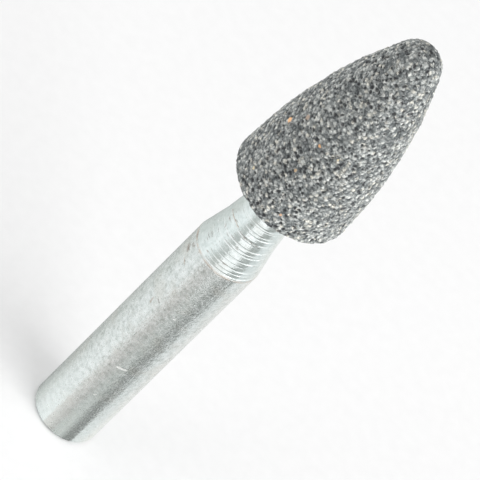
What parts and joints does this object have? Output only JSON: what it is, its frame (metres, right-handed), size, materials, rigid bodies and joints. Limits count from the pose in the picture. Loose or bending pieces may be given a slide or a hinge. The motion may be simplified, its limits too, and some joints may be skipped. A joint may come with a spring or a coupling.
{
  "type": "mounted point",
  "caption": "Mounted grinding point: an ogive vitrified abrasive stone with a domed base and blunt tip, cemented onto a plain round steel shank with a tapered neck.",
  "frame": {"origin": "centre of the shank's flat end face", "axes": "+Z along the shank towards the stone's tip; turned about Z, so X and Y are alike"},
  "size_m": [0.0104, 0.0104, 0.0538],
  "materials": {
    "vitrified_abrasive": "rough, open-grained",
    "plated_steel": "satin zinc plating over turned steel",
    "cement": "matt"
  },
  "bodies": {
    "root": {"abrasive_stone": "vitrified_abrasive", "steel_shank": "plated_steel", "cement_bond": "cement"}
  },
  "joints": []
}
